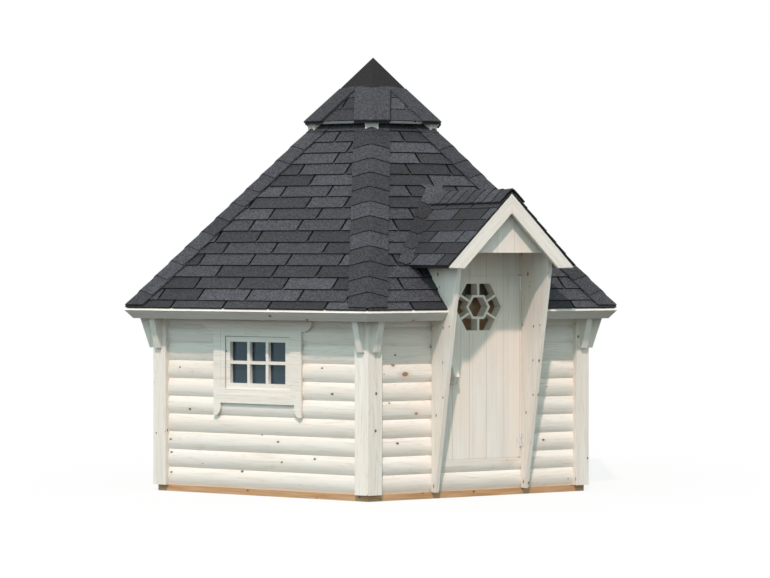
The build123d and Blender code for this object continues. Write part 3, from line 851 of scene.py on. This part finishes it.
# hips of the main roof
hipAngle = math.atan(roof["hexCos"])
hipLook = {
    "Spacing": 0.160,
    "Half Width": 0.133,
    "Overlap": 1.25,
    "Thickness": 0.0080,
    "Fold": math.tan(math.radians(20.7)),
    "Round": 0.018,
    "Foot": 0.436,
    "Head": uncut,
    "Darkest": 0.30,
    "Lightest": 0.85,
    # painted shade: the feet of the hip strips are painted dark, for the shadow line under each lap
    "Shade Left": 0.0,
    "Shade Right": 0.0,
    "Shade Feet": 1.0,
    "Material": shingle,
}
hipFit = {"lift": 0.0095, "topBack": 0.012, "topThickness": 0.006}


def hipPlace(angle, reach, height):
    outward = heading(angle)
    up = upward * math.sin(hipAngle) - outward * math.cos(hipAngle)
    face = upward * math.cos(hipAngle) + outward * math.sin(hipAngle)
    return standing(up.cross(face), up, face, outward * (reach / roof["hexCos"]) + upward * height)


hipLength = (roof["eaveReach"] - roof["holeReach"]) / roof["hexCos"] / math.cos(hipAngle)
hipCount = int(hipLength / hipLook["Spacing"]) - 1
hipTop = hipCount * hipLook["Spacing"] - hipFit["topBack"]
topLength = hipLength - hipTop
hipFoot = {"Count": 1, "Shade Feet": 0.0}
hipRun = {"Count": hipCount - 1, "Foot": 0.0}
hipHead = {"Count": 1, "Spacing": topLength, "Head": topLength, "Overlap": 1.0}
hipHead["Thickness"] = hipFit["topThickness"]
# three pieces to a hip: the foot is cut level at the eave, the head runs on under the cap
hips = []
for step in range(6):
    spot = hipPlace(60 * step, roof["eaveReach"], roof["peak"] - roof["eaveReach"])
    for part, at, seed in ((hipFoot, 0.0, 20), (hipRun, hipLook["Spacing"], 50), (hipHead, hipTop, 30)):
        values = dict(hipLook, Seed=seed + step)
        hips.append(grow("hip", folds, dict(values, **part), moved(spot, 0.0, at, hipFit["lift"])))
settle(joined("hip_strips", hips), "hut")
print("hips laid")

# cap: short courses between broad hip strips
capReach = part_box("cap_fascia")[1].y
hem = {"reach": 0.030, "thickness": 0.0045}
coverReach = coverHigh.y + hem["reach"]
stripLength = (capReach - coverReach) / roof["hexCos"] / math.cos(hipAngle)
capTabs = {"Exposure": 0.125, "Lift": 0.0075, "Thickness": 0.006}
capFit = {
    "rows": 3,
    "cornerInset": 0.06,
    "footRise": 0.001,
    "hang": 0.010,  # strips past the rim
    "under": 0.06,  # and on under the cover
    "headGap": 0.004,
    "thinning": 0.5,  # share of the thickness that sinks towards the cover
    "sink": 1.1,
    "proud": 0.001,
}
# painted shade on the right flank of each cap strip
capStrip = {"Thickness": 0.014, "Half Width": 0.130, "Overlap": 1.0, "Shade Right": 1.0, "Shade Feet": 0.0}
capStrip["Spacing"] = stripLength + capFit["under"]
capStrip["Head"] = stripLength + capFit["hang"] - capFit["headGap"]
capStripLean = math.atan(capFit["thinning"] * capStrip["Thickness"] / capStrip["Spacing"])
capStripDrop = capFit["sink"] * capStrip["Thickness"] - capFit["proud"]
capShadowStrip = {"thickness": 0.012, "place": (0.010, 0.006, -0.0045)}  # painted shade: a dark strip along each strip's right edge, standing in for the shadow in the gap there
capPieces = []
capStrips = []
capShadowStrips = []
for step in range(6):
    spot = slopePlace(heading(60 * step + 30), capReach, capPeak - capReach)
    spot = moved(spot, 0.0, capFit["footRise"], 0.0)
    half = capReach * roof["hexTan"] - capFit["cornerInset"]
    low, high = (-half, taper), (half, -taper)
    capPieces.append(courseRun("run", spot, 0, capFit["rows"], low, high, 40 + step, **capTabs))
    spot = moved(hipPlace(60 * step, capReach, capPeak - capReach), 0.0, -capFit["hang"], -capStripDrop)
    spot = spot @ Matrix.Rotation(capStripLean, 4, "X")
    values = dict(hipLook, Count=1, Seed=160 + step)
    values.update(capStrip)
    capStrips.append(grow("strip", folds, values, spot))
    values.update(Thickness=capShadowStrip["thickness"], Material=shadowStripFinish)
    capShadowStrips.append(grow("shadow strip", folds, values, moved(spot, *capShadowStrip["place"])))
hemCorners = []
for reach, below in ((coverHigh.y, 0.0), (coverReach, 0.0), (coverReach, 1.0), (coverHigh.y, 1.0)):
    height = coverHigh.z - reach - below * hem["thickness"] / roof["slope"]
    hemCorners += [heading(60 * step) * (reach / roof["hexCos"]) + upward * height for step in range(6)]
hemFaces = []
for ring in range(4):
    first, second = 6 * ring, 6 * ((ring + 1) % 4)
    for step in range(6):
        after = (step + 1) % 6
        hemFaces.append((first + step, second + step, second + after, first + after))
settle(newPiece("cap_hem", hemCorners, hemFaces, coverFinish), "hut")
settle(joined("cap_shingles", capPieces), "hut")
settle(joined("cap_strips", capStrips), "hut")
settle(joined("cap_shadow_strips", capShadowStrips), "hut")

# the strips' ends, folded down over the rim boards at each corner
stripEnd = {"length": 0.150, "thickness": 0.004, "rise": 0.029, "below": 0.001, "clear": 0.0004}
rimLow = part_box("cap_fascia")[0].z - stripEnd["below"]
rimHigh = rimLow + stripEnd["rise"]
corner = (capReach + stripEnd["thickness"]) * roof["hexTan"]
inner = corner - stripEnd["length"]
near, far = -capReach - stripEnd["thickness"], -capReach - stripEnd["clear"]
endSpans = [((-corner, near, rimLow), (-inner, far, rimHigh)),
            ((inner, near, rimLow), (corner, far, rimHigh))]
stripEnds = []
for step in range(6):
    spot = Matrix.Rotation(math.radians(60 * step + 120), 4, "Z")
    stripEnds.append(boxes("end", endSpans, shingle, spot))
settle(joined("cap_strip_ends", stripEnds), "hut")
print("cap covered")

# porch roof: courses from the front edge to the valley, ridge strips on top
porchTabs = {"Columns": 24, "Exposure": 0.1105, "Thickness": 0.006, "Lift": 0.007, "Material": porchShingle}
porchFit = {"rows": 6, "overhang": 0.008, "ridgeLift": 0.006}
ridgeLook = {
    "Spacing": 0.118,
    "Half Width": 0.10,
    "Fold": 1.0,
    "Round": 0.012,
    "Foot": 0.0,
    # painted shade along both flanks of the porch ridge strips
    "Shade Left": 1.0,
    "Shade Right": 1.0,
    "Seed": 90,
    "Material": porchShingle,
}
porchFront = porchFit["overhang"] - dormerLow.y
porchBack = roof["peak"] - dormerHigh.z  # where the ridge meets the main slope
backAtEave = porchBack + dormerHigh.x
for side, word in ((1, "right"), (-1, "left")):
    # local x is world y on the right slope and its opposite on the left
    spot = slopePlace(Vector((side, 0.0, 0.0)), dormerHigh.x, dormerHigh.z - dormerHigh.x)
    ends = [(-side * porchFront, 0.0), (-side * backAtEave, side * roof["slope"])]
    low, high = ends[::side]
    piece = courseRun("shingles_porch_" + word, spot, 0, porchFit["rows"], low, high, 80 + side, **porchTabs)
    settle(piece, "hut")
ridgeStart = Matrix.Translation((0.0, -porchFront, dormerHigh.z + porchFit["ridgeLift"]))
ridgeCount = int((-dormerLow.y - porchBack) / ridgeLook["Spacing"])
ridge = grow("porch_ridge", folds, dict(hipLook, Count=ridgeCount, **ridgeLook), ridgeStart)
settle(ridge, "hut")
print("porch roof shingled")

# glazing bars in the window sashes
barLook = {"Bar Width": 0.022, "Columns": 3, "Rows": 2, "Material": boardWood}
barFit = {"setBack": 0.002, "levelShare": 0.94}
windowAngles = {"left": -150, "right": -30}


def reachOf(name, direction):
    return max(corner.co.dot(direction) for corner in nodes[name].data.vertices)


for word, angle in windowAngles.items():
    outward = heading(angle)
    glassFront = reachOf("window_glass_" + word, outward)
    depth = reachOf("window_sash_" + word, outward) - glassFront - barFit["setBack"]
    low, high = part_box("window_glass_" + word)
    middle = (low + high) / 2
    middle += outward * (glassFront + depth / 2 - middle.dot(outward))
    width = (high - low).dot(Vector((abs(outward.y), abs(outward.x), 0.0)))
    spot = Matrix.Translation(middle) @ Matrix.Rotation(math.radians(angle + 90), 4, "Z")
    values = dict(barLook, Width=width, Height=high.z - low.z)
    values.update({"Bar Depth": depth, "Level Depth": depth * barFit["levelShare"]})
    settle(grow("glazing_bars_" + word, glazing, values, spot), "hut")
print("windows barred")

# stops behind the door leaf
stop = {"overlap": 0.007, "width": 0.055, "depth": 0.016, "behind": 0.0052, "head": 0.04, "foot": 0.03}
stopNear = leafHigh.y + stop["behind"]
stopFar = stopNear + stop["depth"]
inX, outX = leafHigh.x - stop["overlap"], leafHigh.x + stop["width"]
topZ, bottomZ = leafHigh.z - stop["overlap"], leafLow.z + stop["overlap"]
stopSpans = [((inX, stopNear, bottomZ), (outX, stopFar, topZ)),
             ((-outX, stopNear, bottomZ), (-inX, stopFar, topZ)),
             ((-outX, stopNear, topZ), (outX, stopFar, topZ + stop["head"])),
             ((-outX, stopNear, bottomZ - stop["foot"]), (outX, stopFar, bottomZ))]
settle(boxes("door_stops", stopSpans, boardWood), "hut")

# the threshold, planed flush with the log under it
thresholdProud = 0.001
low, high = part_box("door_threshold")
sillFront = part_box("door_wall_sill")[0].y - thresholdProud
threshold = boxes("threshold_board", [((low.x, sillFront, low.z), (high.x, high.y, high.z))], boardWood)
settle(threshold, "hut")
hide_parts("door_threshold")

# a facing board on each bargeboard, up over the lower half of the porch roof's front edge
bargeFace = {"rise": 0.0105, "thickness": 0.004, "width": 0.081, "halfGap": 0.0005}
for side, word in ((1, "right"), (-1, "left")):
    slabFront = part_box("dormer_roof_" + word)[0].y
    low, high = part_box("bargeboard_" + word)
    eaveX, eaveZ = max(abs(low.x), abs(high.x)), low.z
    faceFront = slabFront - bargeFace["thickness"]
    section = [(-bargeFace["width"], low.y), (-bargeFace["width"], faceFront), (bargeFace["rise"], faceFront),
               (bargeFace["rise"], slabFront), (0.0, slabFront), (0.0, low.y)]
    top = [(side * bargeFace["halfGap"], y, eaveX + eaveZ + up * math.sqrt(2)) for up, y in section]
    foot = []
    for up, y in section:
        if up > 0:
            foot.append((side * (eaveX + up * roof["slope"]), y, eaveZ + up * roof["slope"]))
        else:
            foot.append((side * (eaveX + up * math.sqrt(2)), y, eaveZ))
    faces = [tuple(range(6)), tuple(range(11, 5, -1))]
    faces += [(step, 6 + step, 6 + (step + 1) % 6, (step + 1) % 6) for step in range(6)]
    piece = newPiece("barge_face_" + word, top + foot, [face[::-side] for face in faces], gableWood)
    settle(piece, "hut")

# pale strips in the gaps round the leaf
weather = {
    "inset": 0.0015,
    "depth": 0.018,
    "clear": 0.0010,
    "height": 0.0045,
    "beside": 0.0062,
    "lockBeside": 0.0035,
    "short": 0.02,
}
stripFront = leafLow.y + weather["inset"]
stripBack = stripFront + weather["depth"]
stripHalf = leafHigh.x - weather["short"]
aboveLeaf, belowLeaf = leafHigh.z + weather["clear"], leafLow.z - weather["clear"]
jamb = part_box("door_header")[1].x
stripSpans = [((-stripHalf, stripFront, aboveLeaf), (stripHalf, stripBack, aboveLeaf + weather["height"])),
              ((-stripHalf, stripFront, belowLeaf - weather["height"]), (stripHalf, stripBack, belowLeaf)),
              ((jamb - weather["beside"], stripFront, leafLow.z), (jamb, stripBack, leafHigh.z)),
              ((-jamb, stripFront, leafLow.z), (weather["lockBeside"] - jamb, stripBack, leafHigh.z))]
settle(boxes("door_weather_strips", stripSpans, plankWood), "hut")

# dark seals beside and over the sashes
seal = {"width": 0.003, "thickness": 0.0012, "clear": 0.0002}
for word, angle in windowAngles.items():
    outward = heading(angle)
    along = Vector((-outward.y, outward.x, 0.0))
    sash = "window_sash_" + word
    sashFront = -reachOf(sash, outward)
    near, far = sashFront - seal["thickness"], sashFront - seal["clear"]
    left, right = -reachOf(sash, -along), reachOf(sash, along)
    bottom, top = -reachOf(sash, -upward), reachOf(sash, upward)
    inner = left + seal["width"]
    sealSpans = [((left, near, bottom), (inner, far, top)),
                 ((inner, near, top - seal["width"]), (right, far, top))]
    spot = standing(along, -outward, upward, (0.0, 0.0, 0.0))
    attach(boxes("window_seal_" + word, sealSpans, sealRubber, spot), "hut")
print("stops and seals set")

# stage: a pale floor that runs out to white, a soft sun behind the camera and a cool fill
floorLook = {"size": 60.0, "colour": (0.10, 0.10, 0.10, 1.0), "glow": 0.86}
sky = {"fill": (0.69, 0.85, 0.84, 1.0), "white": (1.0, 1.0, 1.0, 1.0)}
suns = {
    "sun": {"strength": 2.52, "colour": (1.0, 0.785, 0.726), "spread": 2.0, "height": 50.75, "turn": -124.5},
    "side": {"strength": 0.90, "colour": (0.655, 0.89, 1.0), "spread": 100.0, "height": 15.0, "turn": -165.0},
}


def seenDirectly(tree):
    path = put(tree, "ShaderNodeLightPath").outputs
    seen = calc(tree, "MAXIMUM", path["Is Camera Ray"], path["Is Glossy Ray"])
    return calc(tree, "MAXIMUM", seen, path["Is Transmission Ray"])


floorMaterial = bpy.data.materials.new("pale floor")
tree = emptied(floorMaterial)
matt = put(tree, "ShaderNodeBsdfDiffuse", {"Color": floorLook["colour"]})
glow = put(tree, "ShaderNodeEmission", {"Strength": times(tree, seenDirectly(tree), floorLook["glow"])})
both = put(tree, "ShaderNodeAddShader", {0: matt.outputs[0], 1: glow.outputs[0]})
put(tree, "ShaderNodeOutputMaterial", {"Surface": both.outputs[0]})
size = floorLook["size"]
floorCorners = [(-size, -size, 0), (size, -size, 0), (size, size, 0), (-size, size, 0)]
floor = newPiece("floor", floorCorners, [(0, 1, 2, 3)], floorMaterial)

world = bpy.data.worlds.new("studio")
scene.world = world
tree = emptied(world)
soft = put(tree, "ShaderNodeBackground", {"Color": sky["fill"], "Strength": 1.0})
white = put(tree, "ShaderNodeBackground", {"Color": sky["white"], "Strength": 1.0})
mixed = put(tree, "ShaderNodeMixShader", {0: seenDirectly(tree), 1: soft.outputs[0], 2: white.outputs[0]})
put(tree, "ShaderNodeOutputWorld", {"Surface": mixed.outputs[0]})

for name, look in suns.items():
    lamp = bpy.data.lights.new(name, "SUN")
    lamp.energy = look["strength"]
    lamp.color = look["colour"]
    lamp.angle = math.radians(look["spread"])
    rise = math.radians(look["height"])
    towards = heading(look["turn"]) * math.cos(rise) + upward * math.sin(rise)
    addObject(name, lamp).rotation_euler = towards.to_track_quat("Z", "Y").to_euler()

# a small hanging lamp in the room, shining down, so that its bare pine shows through the glass
roomLook = {
    "strength": 6.8,
    "colour": (1.0, 0.72, 0.45),
    "size": 0.05,
    "cone": 112.6,
    "blend": 0.12,
    "place": (0.6, 0.2, 1.9),
}
roomLamp = bpy.data.lights.new("room", "SPOT")
roomLamp.energy = roomLook["strength"]
roomLamp.color = roomLook["colour"]
roomLamp.shadow_soft_size = roomLook["size"]
roomLamp.spot_size = math.radians(roomLook["cone"])
roomLamp.spot_blend = roomLook["blend"]
addObject("room", roomLamp).location = roomLook["place"]

# camera at eye level, a little left of the near corner
shot = {
    "azimuth": -28.93,
    "distance": 19.799,
    "height": 1.70,
    "yaw": -0.2564,
    "pitch": -0.8015,
    "lens": 124.32,
    "sensor": 36.0,
    "sight": 200.0,
}
cameraData = bpy.data.cameras.new("camera")
cameraData.lens = shot["lens"]
cameraData.sensor_width = shot["sensor"]
cameraData.clip_end = shot["sight"]
camera = addObject("camera", cameraData)
camera.location = heading(shot["azimuth"] - 90) * shot["distance"] + upward * shot["height"]
camera.rotation_euler = (math.radians(90 + shot["pitch"]), 0.0, math.radians(shot["azimuth"] + shot["yaw"]))
scene.camera = camera
print("stage set")
